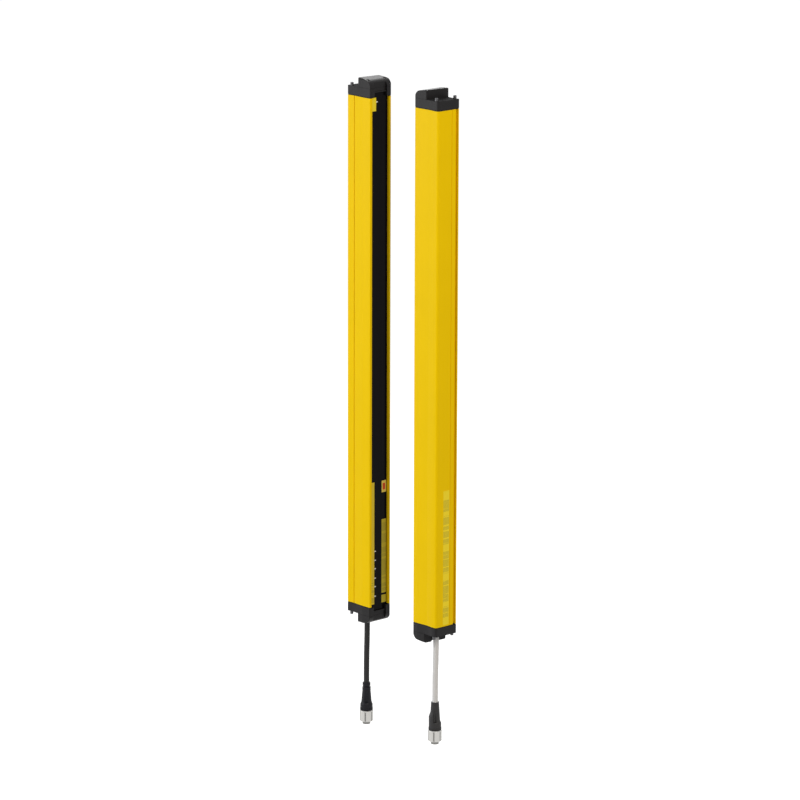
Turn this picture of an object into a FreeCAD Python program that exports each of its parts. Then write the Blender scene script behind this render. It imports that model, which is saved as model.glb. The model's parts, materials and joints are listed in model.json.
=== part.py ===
"""Safety light curtain: a receiver bar and an emitter bar that face each other.

Each bar is modelled once in its own frame and then placed. In the bar frame x runs from the
bracket face at the back to the window at the front, y runs to the bar's left, and z runs up
from its middle. The receiver keeps this frame, so the origin is the middle of its back face.
The emitter is the same bar turned half a turn about z, with its window facing the receiver's.
Sizes are in millimetres.
"""
import FreeCAD, Part
import math
import os
from FreeCAD import Vector

# Overall sizes of a bar and of the pair
bar_length = 720.0
bar_width = 36.6
bar_depth = 43.8
pair_gap = 83.8

# Outline of the extruded housing
waist_depth = 1.2
swell_radius = 30.0
corner_pull = 0.4
front_corner_radius = 1.4
left_back_radius = 3.2
right_back_radius = 1.0
left_back_swell_x = 7.0
left_waist_x = 18.6
left_swell_setback = 8.4
right_waist_x = 12.2
right_swell_setback = 14.4
side_groove_width = 1.2
side_groove_depth = 1.0

# Back face: scribe line, ledge and bracket slot
scribe_y = -5.4
scribe_width = 0.9
scribe_depth = 0.6
ledge_depth = 0.5
ledge_end_y = -7.0
slot_inset = 4.4
slot_mouth_width = 3.6
slot_lip = 1.4
slot_channel_width = 5.2
slot_channel_depth = 2.2
slot_wall = 1.6

# Inside of the housing
back_wall = 2.4
side_wall = 3.5
lip_width = 3.6
window_recess = 3.8
window_thickness = 1.7
window_clearance = 0.1
window_edge_grip = 1.2
seal_thickness = 0.5
seal_width = 3.4
rail_height = 1.4
rail_thickness = 1.2
port_hole_radius = 1.3
port_wall = 1.2
rear_port_x = 6.0
rear_port_inset = 2.7
front_port_setback = 8.7
front_port_inset = 4.3

# End caps
cap_low_height = 12.4
cap_tall_height = 24.5
cap_left_tall_x = 22.6
cap_right_tall_x = 19.2
cap_slope_x = 24.0
cap_slope_drop = 2.9
cap_nose_radius = 11.0
cap_rear_round = 2.0
cap_crown_round = 4.0
cap_wall = 2.2
cap_roof = 2.2
gasket_thickness = 1.0
gasket_inset = 0.5
gasket_rim = 2.6
window_overrun = 6.5
cap_recess_inset = 4.15
cap_recess_depth = 2.6
cap_sill_depth = 1.2
cap_sill_height = 1.2

# Cap screws
screw_shank_radius = 1.2
screw_engagement = 10.0
screw_head_radius = 2.1
screw_head_height = 4.2
screw_slot_width = 0.7
screw_slot_depth = 1.1
counterbore_clearance = 0.25
front_screw_seat = 5.0
front_head_height = 2.2

# Optics and electronics
beam_pitch = 20.0
optics_end_room = 4.0
board_x = 12.4
board_thickness = 1.6
board_side_clearance = 0.3
board_fit = 0.1
lens_plate_thickness = 1.4
lens_edge_margin = 1.7
lens_rise = 1.4
light_well_wall = 1.4
diode_length = 3.2
diode_width = 2.8
diode_height = 1.9
diode_taper = 0.4
chip_count = 9
chip_length = 10.0
chip_width = 7.0
chip_height = 1.4
lamp_count = 6
lamp_pitch = 12.2
lamp_from_end = 21.0
lamp_size = 1.6
lamp_height = 0.8
guide_width = 1.8
guide_gap = 0.3
guide_side_clearance = 0.4
guide_bar_depth = 5.0
guide_finger_height = 3.0
guide_overhang = 3.0
socket_length = 14.0
socket_width = 10.0
socket_height = 5.6
socket_from_end = 16.0
spring_from_end = 48.0
spring_width = 6.0
spring_thickness = 0.4
spring_foot = 5.0
spring_y = 4.0

# Cable and its bush
cable_x = 19.0
cable_diameter = 7.4
cable_lean = 0.9
cable_lean_angle = 225.0
receiver_cable_run = 96.0
emitter_cable_run = 92.0
bush_flange_radius = 5.6
bush_flange_thickness = 1.8
bush_neck_radius = 4.9
bush_inner_thickness = 1.5
bush_relief = 0.5
lead_radius = 1.8

# Plug
body_length = 37.2
body_neck_radius = 5.2
body_taper_radius = 6.8
band_radius = 8.2
band_height = 7.6
band_flare = 3.7
grip_ring_radius = 5.6
grip_ring_height = 4.2
grip_ring_step = 0.6
grip_ring_groove_radius = 4.5
upper_ring_height = 4.2
ring_groove_height = 0.8
shield_band_height = 9.0
shield_band_flare = 3.4
shield_radius = 6.0
shield_start = 13.0
shield_flare = 6.5
shield_side_x = 1.0
grip_groove_radius = 2.2
grip_groove_depth = 3.2
grip_groove_gap = 3.0
grip_groove_length = 16.0
plug_turn = 45.0
nut_radius = 9.0
nut_height = 14.8
nut_end_gap = 0.3
nut_lip_height = 3.0
nut_bore_radius = 6.9
nut_edge_chamfer = 0.9
flute_count = 6
flute_turn = 8.0
flute_radius = 1.1
flute_depth = 0.6
running_gap = 0.25
flange_gap = 0.3
insert_shaft_radius = 6.2
insert_flange_thickness = 2.0
sleeve_radius = 5.2
sleeve_bore_radius = 4.3
sleeve_depth = 8.0
tip_length = 4.0
ring_section_radius = 0.7
pin_radius = 0.5
pin_circle_radius = 2.5
pin_length = 7.0

# Worked-out sizes that several pieces share
half_width = bar_width / 2
housing_length = bar_length - 2 * cap_tall_height
housing_end = housing_length / 2
window_front_x = bar_depth - window_recess
window_back_x = window_front_x - window_thickness
ledge_x = window_back_x - seal_thickness
opening_half = half_width - lip_width
window_half = opening_half + window_edge_grip
cavity_half = half_width - side_wall
slot_y = -(half_width - slot_inset)
rear_port_y = half_width - rear_port_inset
rear_port_pad = port_hole_radius + port_wall
front_port_x = bar_depth - front_port_setback
front_port_y = half_width - front_port_inset
front_block_y = front_port_y - rear_port_pad
front_block_x = front_port_x - rear_port_pad
board_front_x = board_x + board_thickness
optics_half_width = front_block_y - guide_side_clearance - guide_width - guide_gap
lens_plate_x = ledge_x - lens_rise - lens_plate_thickness
lens_radius = optics_half_width - lens_edge_margin
beam_count = int((housing_length - 2 * optics_end_room) / beam_pitch)
optics_length = beam_count * beam_pitch
board_length = housing_length - 2 * optics_end_room
bush_end = cap_low_height + bush_flange_thickness
bush_start = cap_low_height - cap_roof - bush_inner_thickness
relief_radius = bush_flange_radius + bush_relief
cable_radius = cable_diameter / 2


def rounded_wire(corners):
    """Closed wire in the xy plane through corners (x, y, radius), rounded by tangent arcs."""
    count = len(corners)
    starts = []
    ends = []
    middles = []
    for i in range(count):
        before = Vector(*corners[i - 1][:2])
        here = Vector(*corners[i][:2])
        after = Vector(*corners[(i + 1) % count][:2])
        radius = corners[i][2]
        into = (here - before).normalize()
        out = (after - here).normalize()
        half_turn = into.getAngle(out) / 2
        cut = radius * math.tan(half_turn)
        starts.append(here - into * cut)
        ends.append(here + out * cut)
        inward = (out - into).normalize()
        reach = radius / math.cos(half_turn) - radius
        middles.append(here + inward * reach)
    edges = []
    for i in range(count):
        if (starts[i] - ends[i]).Length > 1e-6:
            edges.append(Part.Arc(starts[i], middles[i], ends[i]).toShape())
        following = (i + 1) % count
        if (starts[following] - ends[i]).Length > 1e-6:
            edges.append(Part.LineSegment(ends[i], starts[following]).toShape())
    return Part.Wire(edges)


def rectangle(x0, x1, y0, y1):
    """Flat rectangular face in the xy plane."""
    corners = [(x0, y0, 0), (x1, y0, 0), (x1, y1, 0), (x0, y1, 0)]
    return Part.Face(rounded_wire(corners))


def disc(x, y, radius):
    """Flat round face in the xy plane."""
    return Part.Face(Part.Wire(Part.makeCircle(radius, Vector(x, y, 0))))


def raise_face(face, z0, z1):
    """Solid made by lifting a flat face from z0 to z1."""
    moved = face.copy()
    moved.translate(Vector(0, 0, z0))
    return moved.extrude(Vector(0, 0, z1 - z0)).Solids[0]


def block(x0, x1, y0, y1, z0, z1):
    """Rectangular solid between two corners."""
    return Part.makeBox(x1 - x0, y1 - y0, z1 - z0, Vector(x0, y0, z0))


def rod(x, y, radius, z0, z1):
    """Upright cylinder."""
    return Part.makeCylinder(radius, z1 - z0, Vector(x, y, z0))


def turned(profile, x=0.0, y=0.0):
    """Solid of revolution about an upright axis, from (radius, z) points."""
    points = [Vector(radius, 0, z) for radius, z in profile]
    face = Part.Face(Part.makePolygon(points + points[:1]))
    solid = face.revolve(Vector(0, 0, 0), Vector(0, 0, 1), 360)
    solid.translate(Vector(x, y, 0))
    return solid


def tube_along(points, radius):
    """Round tube along straight runs joined by tangent arcs, and the arcs' radii."""
    edges = []
    radii = []
    last = points[0]
    for i in range(1, len(points) - 1):
        before = points[i] - points[i - 1]
        after = points[i + 1] - points[i]
        half_turn = before.getAngle(after) / 2
        cut = 0.45 * min(before.Length, after.Length)
        bend = cut / math.tan(half_turn)
        into = Vector(before).normalize()
        out = Vector(after).normalize()
        start = points[i] - into * cut
        end = points[i] + out * cut
        inward = (out - into).normalize()
        middle = points[i] + inward * (bend / math.cos(half_turn) - bend)
        edges.append(Part.LineSegment(last, start).toShape())
        edges.append(Part.Arc(start, middle, end).toShape())
        radii.append(bend)
        last = end
    edges.append(Part.LineSegment(last, points[-1]).toShape())
    path = Part.Wire(edges)
    section = Part.Wire(Part.makeCircle(radius, points[0], points[1] - points[0]))
    return path.makePipeShell([section], True, False), radii


def housing_outline():
    """The bar's outer outline, seen from above."""
    near = half_width - corner_pull
    waist = half_width - waist_depth
    corners = [
        (0, -near, right_back_radius),
        (right_waist_x, -waist, 0),
        (bar_depth - right_swell_setback, -half_width, swell_radius),
        (bar_depth, -near, front_corner_radius),
        (bar_depth, near, front_corner_radius),
        (bar_depth - left_swell_setback, half_width, swell_radius),
        (left_waist_x, waist, 0),
        (left_back_swell_x, half_width, swell_radius),
        (0, near, left_back_radius),
    ]
    return rounded_wire(corners)


def housing_hollow():
    """Section of the space inside the housing, with its rails, blocks and port pads left solid."""
    hollow = rectangle(back_wall, ledge_x, -cavity_half, cavity_half)
    slot_back_x = slot_lip + slot_channel_depth + slot_wall
    slot_side = slot_y + slot_channel_width / 2 + slot_wall
    solid_parts = [rectangle(back_wall, slot_back_x, -cavity_half, slot_side)]
    for side in (-1, 1):
        solid_parts.append(disc(rear_port_x, side * rear_port_y, rear_port_pad))
        low, high = sorted((side * front_block_y, side * cavity_half))
        solid_parts.append(rectangle(front_block_x, ledge_x, low, high))
        low, high = sorted((side * (cavity_half - rail_height), side * cavity_half))
        rear_rail = board_x - board_fit
        front_rail = board_front_x + board_fit
        solid_parts.append(rectangle(rear_rail - rail_thickness, rear_rail, low, high))
        solid_parts.append(rectangle(front_rail, front_rail + rail_thickness, low, high))
    return hollow.cut(solid_parts)


def housing():
    """Extruded housing with window channel, bracket slot, side groove and screw ports."""
    section = Part.Face(housing_outline())
    lip_back_x = window_front_x + window_clearance
    groove_half = window_half + window_clearance
    groove_y = -(half_width - waist_depth)
    slot_mouth = slot_mouth_width / 2
    channel = slot_channel_width / 2
    cuts = [
        housing_hollow(),
        rectangle(ledge_x, lip_back_x, -groove_half, groove_half),
        rectangle(lip_back_x - 1, bar_depth + 1, -opening_half, opening_half),
        rectangle(-1, slot_lip, slot_y - slot_mouth, slot_y + slot_mouth),
        rectangle(slot_lip, slot_lip + slot_channel_depth, slot_y - channel, slot_y + channel),
        rectangle(-1, scribe_depth, scribe_y - scribe_width / 2, scribe_y + scribe_width / 2),
        rectangle(-1, ledge_depth, slot_y, ledge_end_y),
        rectangle(right_waist_x - side_groove_width / 2, right_waist_x + side_groove_width / 2,
                  -half_width - 1, groove_y + side_groove_depth),
    ]
    for side in (-1, 1):
        cuts.append(disc(rear_port_x, side * rear_port_y, port_hole_radius))
        cuts.append(disc(front_port_x, side * front_port_y, port_hole_radius))
    section = section.cut(cuts)
    return raise_face(section, -housing_end, housing_end)


def window():
    """Front strip, which runs on into both caps."""
    end = housing_end + window_overrun
    return block(window_back_x, window_front_x, -window_half, window_half, -end, end)


def window_seals():
    """Two foam strips that bed the window on the housing's ledges."""
    strips = []
    for side in (-1, 1):
        low, high = sorted((side * (window_half - seal_width), side * window_half))
        strips.append(block(ledge_x, window_back_x, low, high, -housing_end, housing_end))
    return Part.makeCompound(strips)


def cap_side_view(inset):
    """Slab across the bar with the tall part's sloping top and round nose, pulled in by inset."""
    nose_top = cap_tall_height - cap_slope_drop
    roof_inset = inset * cap_roof / cap_wall
    corners = [
        (0, -roof_inset - 1, 0),
        (bar_depth - inset, -roof_inset - 1, 0),
        (bar_depth - inset, nose_top - roof_inset, cap_nose_radius - inset),
        (cap_slope_x, cap_tall_height - roof_inset, 0),
        (0, cap_tall_height - roof_inset, 0),
    ]
    side = Part.Face(rounded_wire(corners))
    side.rotate(Vector(0, 0, 0), Vector(1, 0, 0), 90)
    side.translate(Vector(0, bar_width, 0))
    return side.extrude(Vector(0, -2 * bar_width, 0))


def cap_front_view(inset):
    """Slab along x with the tall part's two rounded top edges, pulled in by inset."""
    roof_inset = inset * cap_roof / cap_wall
    reach = half_width - inset
    crown = max(cap_crown_round - inset, 0)
    corners = [
        (-roof_inset - 1, -reach, 0),
        (-roof_inset - 1, reach, 0),
        (cap_tall_height - roof_inset, reach, crown),
        (cap_tall_height - roof_inset, -reach, crown),
    ]
    front = Part.Face(rounded_wire(corners))
    front.rotate(Vector(0, 0, 0), Vector(0, 1, 0), -90)
    return front.extrude(Vector(bar_depth + 1, 0, 0))


def tall_plan(inset):
    """Face that holds the cap's tall part in plan, with its two rear corners rounded."""
    left = cap_left_tall_x + inset
    right = cap_right_tall_x + inset
    reach = half_width - waist_depth - inset
    flare = cap_rear_round
    corner = max(cap_rear_round - inset, 0)
    corners = [
        (right, -reach, corner),
        (right + 2 * flare, -reach - flare, 0),
        (bar_depth + 1, -bar_width, 0),
        (bar_depth + 1, bar_width, 0),
        (left + 2 * flare, reach + flare, 0),
        (left, reach, corner),
    ]
    return Part.Face(rounded_wire(corners))


def cap_form(inset, z0):
    """Solid of the cap's outer form, or of its hollow when inset is its wall."""
    outline = housing_outline()
    if inset:
        outline = outline.makeOffset2D(-inset)
    plan = Part.Face(outline)
    tall = raise_face(plan.common(tall_plan(inset)), z0, cap_tall_height + 1)
    tall = tall.common(cap_side_view(inset)).common(cap_front_view(inset))
    low = raise_face(plan, z0, cap_low_height - inset * cap_roof / cap_wall)
    return low.fuse(tall).removeSplitter().Solids[0]


def cap(cable_side):
    """Moulded end cap standing on the housing's end at z = 0; cable_side adds the cable hole."""
    form = cap_form(0, gasket_thickness)
    hollow = cap_form(cap_wall, 0)
    front_wall = block(ledge_x - cap_wall, bar_depth, -bar_width, bar_width, 0, cap_tall_height)
    keep = [front_wall]
    for side in (-1, 1):
        keep.append(rod(rear_port_x, side * rear_port_y, rear_port_pad, 0, cap_tall_height))
        post = screw_head_radius + counterbore_clearance + port_wall
        keep.append(rod(front_port_x, side * front_port_y, post, 0, cap_tall_height))
    if cable_side:
        keep.append(rod(cable_x, 0, relief_radius + cap_wall, cap_low_height, cap_tall_height))
    form = form.cut(hollow.cut(keep))
    grip_half = window_half + window_clearance
    pocket_top = window_overrun + window_clearance
    recess_half = opening_half - cap_recess_inset
    recess_back = bar_depth - cap_recess_depth
    lip_back_x = window_front_x + window_clearance
    cuts = [
        block(ledge_x, lip_back_x, -grip_half, grip_half, 0, pocket_top),
        block(lip_back_x - 1, bar_depth + 1, -recess_half, recess_half, 0, pocket_top),
        block(recess_back + cap_sill_depth, bar_depth + 1, -recess_half, recess_half, 0,
              cap_tall_height + 1),
        block(recess_back, bar_depth + 1, -recess_half, recess_half,
              pocket_top + cap_sill_height, cap_tall_height + 1),
    ]
    head_room = screw_head_radius + counterbore_clearance
    for side in (-1, 1):
        for x, y in ((rear_port_x, rear_port_y), (front_port_x, front_port_y)):
            cuts.append(rod(x, side * y, port_hole_radius, 0, cap_tall_height))
        cuts.append(rod(front_port_x, side * front_port_y, head_room, front_screw_seat,
                        cap_tall_height + 1))
    if cable_side:
        cuts.append(rod(cable_x, 0, bush_neck_radius, 0, cap_tall_height))
        cuts.append(rod(cable_x, 0, relief_radius, cap_low_height, cap_tall_height + 1))
    return form.cut(cuts).Solids[0]


def gasket():
    """Flat rubber ring between the housing's end and a cap."""
    outer = Part.Face(housing_outline().makeOffset2D(-gasket_inset))
    inner = Part.Face(housing_outline().makeOffset2D(-gasket_rim))
    front_half = window_half + window_clearance
    keep = [rectangle(front_block_x, ledge_x, -cavity_half, -front_block_y),
            rectangle(front_block_x, ledge_x, front_block_y, cavity_half)]
    for side in (-1, 1):
        keep.append(disc(rear_port_x, side * rear_port_y, rear_port_pad))
    cuts = [inner.cut(keep),
            rectangle(ledge_x, window_front_x + window_clearance, -front_half, front_half),
            rectangle(ledge_x, bar_depth + 1, -opening_half, opening_half)]
    for side in (-1, 1):
        cuts.append(disc(rear_port_x, side * rear_port_y, port_hole_radius))
        cuts.append(disc(front_port_x, side * front_port_y, port_hole_radius))
    return raise_face(outer.cut(cuts), 0, gasket_thickness)


def screw(x, y, seat, head_height):
    """Self-tapping screw with a slotted cheese head that sits at height seat."""
    top = seat + head_height
    body = rod(x, y, screw_shank_radius, -screw_engagement, seat)
    head = rod(x, y, screw_head_radius, seat, top)
    head = head.makeChamfer(head_height * 0.12, [head.Edges[0]])
    slot = block(x - screw_head_radius - 1, x + screw_head_radius + 1, y - screw_slot_width / 2,
                 y + screw_slot_width / 2, top - screw_slot_depth, top + 1)
    return head.cut(slot).fuse(body).removeSplitter()


def cap_screws():
    """The four screws of one cap."""
    screws = []
    for side in (-1, 1):
        screws.append(screw(rear_port_x, side * rear_port_y, cap_low_height, screw_head_height))
        screws.append(screw(front_port_x, side * front_port_y, front_screw_seat,
                            front_head_height))
    return Part.makeCompound([one.Solids[0] for one in screws])


def beam_heights():
    """Heights of the beams, evenly spaced about the middle of the bar."""
    first = -(beam_count - 1) / 2 * beam_pitch
    return [first + i * beam_pitch for i in range(beam_count)]


def circuit_board():
    """Long board held in the housing's card rails."""
    half = board_length / 2
    side = cavity_half - board_side_clearance
    return block(board_x, board_front_x, -side, side, -half, half)


def board_parts():
    """Chips on the back of the board, spread along it clear of the socket and the spring."""
    start = -housing_end + spring_from_end + chip_length + spring_width
    end = board_length / 2 - chip_length
    step = (end - start) / (chip_count - 1)
    chips = []
    for i in range(chip_count):
        middle = start + i * step
        chips.append(block(board_x - chip_height, board_x, -chip_width / 2, chip_width / 2,
                           middle - chip_length / 2, middle + chip_length / 2))
    return Part.makeCompound(chips)


def diodes():
    """One tapered surface-mount diode for each beam."""
    pieces = []
    for z in beam_heights():
        piece = Part.makeWedge(
            -diode_width / 2, 0, -diode_length / 2, -diode_length / 2 + diode_taper,
            -diode_width / 2 + diode_taper, diode_width / 2, diode_height, diode_length / 2,
            diode_length / 2 - diode_taper, diode_width / 2 - diode_taper)
        piece.rotate(Vector(0, 0, 0), Vector(0, 0, 1), -90)
        piece.translate(Vector(board_front_x, 0, z))
        pieces.append(piece)
    return Part.makeCompound(pieces)


def optics_carrier():
    """Moulded ladder of light wells between the board and the lenses."""
    half = optics_length / 2
    body = block(board_front_x, lens_plate_x, -optics_half_width, optics_half_width, -half, half)
    inside = optics_half_width - light_well_wall
    well_half = beam_pitch / 2 - light_well_wall / 2
    wells = []
    for z in beam_heights():
        wells.append(block(board_front_x - 1, lens_plate_x + 1, -inside, inside,
                           z - well_half, z + well_half))
    return body.cut(wells)


def lens_strip():
    """Clear strip with one domed lens in front of each light well."""
    half = optics_length / 2
    front = lens_plate_x + lens_plate_thickness
    plate = block(lens_plate_x, front, -optics_half_width, optics_half_width, -half, half)
    sphere_radius = (lens_radius ** 2 + lens_rise ** 2) / (2 * lens_rise)
    middle_angle = math.asin(lens_radius / sphere_radius) / 2
    centre = lens_rise - sphere_radius
    arc = Part.Arc(Vector(0, lens_radius, 0),
                   Vector(centre + sphere_radius * math.cos(middle_angle),
                          sphere_radius * math.sin(middle_angle), 0),
                   Vector(lens_rise, 0, 0)).toShape()
    axis_line = Part.LineSegment(Vector(lens_rise, 0, 0), Vector(0, 0, 0)).toShape()
    base_line = Part.LineSegment(Vector(0, 0, 0), Vector(0, lens_radius, 0)).toShape()
    dome = Part.Face(Part.Wire([arc, axis_line, base_line]))
    dome = dome.revolve(Vector(0, 0, 0), Vector(1, 0, 0), 360)
    domes = []
    for z in beam_heights():
        one = dome.copy()
        one.translate(Vector(front, 0, z))
        domes.append(one)
    return plate.fuse(domes).Solids[0]


def lamp_heights():
    """Heights of the status lamps, counted up from the lower end of the housing."""
    return [-housing_end + lamp_from_end + i * lamp_pitch for i in range(lamp_count)]


def lamp_y():
    """Sideways place of the lamps, beside the optics on the bar's right."""
    return -(optics_half_width + guide_gap + guide_width / 2)


def indicator_leds():
    """Small status lamps on the front of the board."""
    lamps = []
    y = lamp_y()
    for z in lamp_heights():
        lamps.append(block(board_front_x, board_front_x + lamp_height, y - lamp_size / 2,
                           y + lamp_size / 2, z - lamp_size / 2, z + lamp_size / 2))
    return Part.makeCompound(lamps)


def light_guide():
    """Clear comb with a finger for each lamp and a bar behind the window."""
    y0 = lamp_y() - guide_width / 2
    y1 = lamp_y() + guide_width / 2
    heights = lamp_heights()
    bar_back = ledge_x - guide_bar_depth
    low = heights[0] - guide_finger_height / 2 - guide_overhang
    high = heights[-1] + guide_finger_height / 2 + guide_overhang
    comb = block(bar_back, ledge_x, y0, y1, low, high)
    fingers = []
    for z in heights:
        fingers.append(block(board_front_x + lamp_height, bar_back, y0, y1,
                             z - guide_finger_height / 2, z + guide_finger_height / 2))
    return comb.fuse(fingers).removeSplitter().Solids[0]


def wire_socket():
    """Socket for the lead, on the back of the board near its lower end."""
    low = -housing_end + socket_from_end
    return block(board_x - socket_height, board_x, -socket_width / 2, socket_width / 2,
                 low, low + socket_length)


def inner_lead():
    """The lead's cores, from the bush up to the socket behind the board."""
    socket_x = board_x - socket_height / 2
    start = Vector(cable_x, 0, -housing_end - bush_start)
    end = Vector(socket_x, 0, -housing_end + socket_from_end)
    board_low = -board_length / 2
    low_knee = start.z + (board_low - start.z) * 0.22
    high_knee = board_low - lead_radius / 2
    points = [start, Vector(cable_x, 0, low_knee), Vector(socket_x, 0, high_knee), end]
    lead, radii = tube_along(points, lead_radius)
    return lead


def earth_spring():
    """Bent strip from the back of the board to the inside of the housing's back wall."""
    t = spring_thickness
    z0 = -housing_end + spring_from_end
    foot = spring_foot
    points = [
        (back_wall, 0), (back_wall, foot), (back_wall + t, foot), (back_wall + t, t),
        (board_x - t, t), (board_x - t, foot), (board_x, foot), (board_x, 0),
    ]
    wire = Part.makePolygon([Vector(x, spring_y + y, z0) for x, y in points + points[:1]])
    return Part.Face(wire).extrude(Vector(0, 0, spring_width))


def cable_bush():
    """Rubber bush with a flange each side of the bottom cap's floor."""
    low = -housing_end - bush_end
    floor_out = -housing_end - cap_low_height
    floor_in = floor_out + cap_roof
    top = -housing_end - bush_start
    profile = [
        (cable_radius, low), (bush_flange_radius, low), (bush_flange_radius, floor_out),
        (bush_neck_radius, floor_out), (bush_neck_radius, floor_in),
        (bush_flange_radius, floor_in), (bush_flange_radius, top), (cable_radius, top),
    ]
    return turned(profile, cable_x, 0)


def lean(turned_bar):
    """Sideways offset of the plug from the cable's exit, in the bar frame."""
    angle = math.radians(cable_lean_angle + (180 if turned_bar else 0))
    return cable_lean * math.cos(angle), cable_lean * math.sin(angle)


def cable_points(run, turned_bar):
    """The cable's route from inside the bush to the plug, in the bar frame."""
    x, y = lean(turned_bar)
    top = -housing_end - bush_start
    end = -housing_end - bush_end - run
    return [
        Vector(cable_x, 0, top),
        Vector(cable_x, 0, top + (end - top) * 0.34),
        Vector(cable_x + x, y, top + (end - top) * 0.66),
        Vector(cable_x + x, y, end),
    ]


def cable(run, turned_bar, name):
    """Cable that hangs from the bush to the plug."""
    points = cable_points(run, turned_bar)
    tube, radii = tube_along(points, cable_radius)
    length = sum((points[i + 1] - points[i]).Length for i in range(len(points) - 1))
    share = tube.Volume / (math.pi * cable_radius ** 2 * length)
    print(name, "length %.1f mm, bends of" % length, ["%.0f" % r for r in radii],
          "volume over section times length %.4f" % share)
    return tube


def ringed_body():
    """Plug body with two grip rings below the cable and a taper to a wide band."""
    top = body_length
    groove_top = top - upper_ring_height - grip_ring_step
    groove_low = groove_top - ring_groove_height
    ring_top = groove_low - grip_ring_step
    ring_low = ring_top - grip_ring_height
    taper_top = ring_low - 2 * grip_ring_step
    profile = [
        (0, top), (body_neck_radius, top), (body_neck_radius, top - upper_ring_height),
        (grip_ring_groove_radius, groove_top), (grip_ring_groove_radius, groove_low),
        (grip_ring_radius, ring_top), (grip_ring_radius, ring_low),
        (body_neck_radius, ring_low - grip_ring_step), (grip_ring_radius, taper_top),
        (body_taper_radius, band_height + band_flare), (band_radius, band_height),
        (band_radius, 0), (0, 0),
    ]
    return turned(profile)


def shielded_body():
    """Plug body with a plain taper, a wide band and a raised shield on one side."""
    top = body_length
    shield_top = top - shield_start
    profile = [
        (0, top), (body_neck_radius, top), (shield_radius, shield_top),
        (body_taper_radius, shield_band_height + shield_band_flare),
        (band_radius, shield_band_height), (band_radius, 0), (0, 0),
    ]
    shield = turned([
        (0, shield_top), (shield_radius, shield_top), (band_radius, shield_top - shield_flare),
        (band_radius, 0), (0, 0),
    ])
    side = block(shield_side_x, 2 * band_radius, -2 * band_radius, 2 * band_radius, -1, top)
    return turned(profile).fuse(shield.common(side)).removeSplitter()


def connector_body(shape):
    """Plug body with a grip groove cut on two sides, turned to its place on the lead."""
    low = band_height + grip_groove_gap
    for side in (-1, 1):
        middle = side * (band_radius + grip_groove_radius - grip_groove_depth)
        shape = shape.cut(rod(0, middle, grip_groove_radius, low, low + grip_groove_length))
    shape = shape.Solids[0]
    shape.rotate(Vector(0, 0, 0), Vector(0, 0, 1), plug_turn)
    return shape


def connector_insert():
    """Sleeve below the plug body that carries the nut and holds the contacts."""
    flange_top = -nut_end_gap - nut_lip_height - flange_gap
    flange_low = flange_top - insert_flange_thickness
    tip = -nut_end_gap - nut_height - tip_length
    flange_radius = nut_bore_radius - flange_gap
    profile = [
        (0, 0), (insert_shaft_radius, 0), (insert_shaft_radius, flange_top),
        (flange_radius, flange_top), (flange_radius, flange_low), (sleeve_radius, flange_low),
        (sleeve_radius, tip), (sleeve_bore_radius, tip), (sleeve_bore_radius, tip + sleeve_depth),
        (0, tip + sleeve_depth),
    ]
    return turned(profile)


def contact_pins():
    """One middle pin and four round it, standing in the sleeve."""
    floor = -nut_end_gap - nut_height - tip_length + sleeve_depth
    pins = [rod(0, 0, pin_radius, floor - pin_length, floor)]
    for quarter in range(4):
        angle = math.radians(45 + 90 * quarter)
        x = pin_circle_radius * math.cos(angle)
        y = pin_circle_radius * math.sin(angle)
        pins.append(rod(x, y, pin_radius, floor - pin_length, floor))
    return Part.makeCompound(pins)


def sealing_ring():
    """Rubber ring on the sleeve, under the insert's flange."""
    flange_low = -nut_end_gap - nut_lip_height - flange_gap - insert_flange_thickness
    return Part.makeTorus(sleeve_radius + ring_section_radius, ring_section_radius,
                          Vector(0, 0, flange_low - ring_section_radius))


def coupling_nut():
    """Fluted ring that turns on the insert and is held by the insert's flange."""
    top = -nut_end_gap
    low = top - nut_height
    chamfer = nut_edge_chamfer
    blank = turned([
        (0, top), (nut_radius - chamfer, top), (nut_radius, top - chamfer),
        (nut_radius, low + chamfer), (nut_radius - chamfer, low), (0, low),
    ])
    flutes = []
    reach = nut_radius + flute_radius - flute_depth
    for i in range(flute_count):
        angle = math.radians(flute_turn + 360 * i / flute_count)
        flutes.append(rod(reach * math.cos(angle), reach * math.sin(angle), flute_radius,
                          low - 1, top + 1))
    lip_radius = insert_shaft_radius + running_gap
    bore = turned([
        (0, top + 1), (lip_radius, top + 1), (lip_radius, top - nut_lip_height),
        (nut_bore_radius, top - nut_lip_height), (nut_bore_radius, low - 1), (0, low - 1),
    ])
    return blank.cut(flutes).cut(bore).Solids[0]


def at_top(shape):
    """Place an end piece, made at z = 0, on the housing's upper end."""
    placed = shape.copy()
    placed.translate(Vector(0, 0, housing_end))
    return placed


def at_bottom(shape):
    """Place an end piece, made at z = 0, mirrored on the housing's lower end."""
    placed = shape.mirror(Vector(0, 0, 0), Vector(0, 0, 1))
    placed.translate(Vector(0, 0, -housing_end))
    return placed


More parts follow.
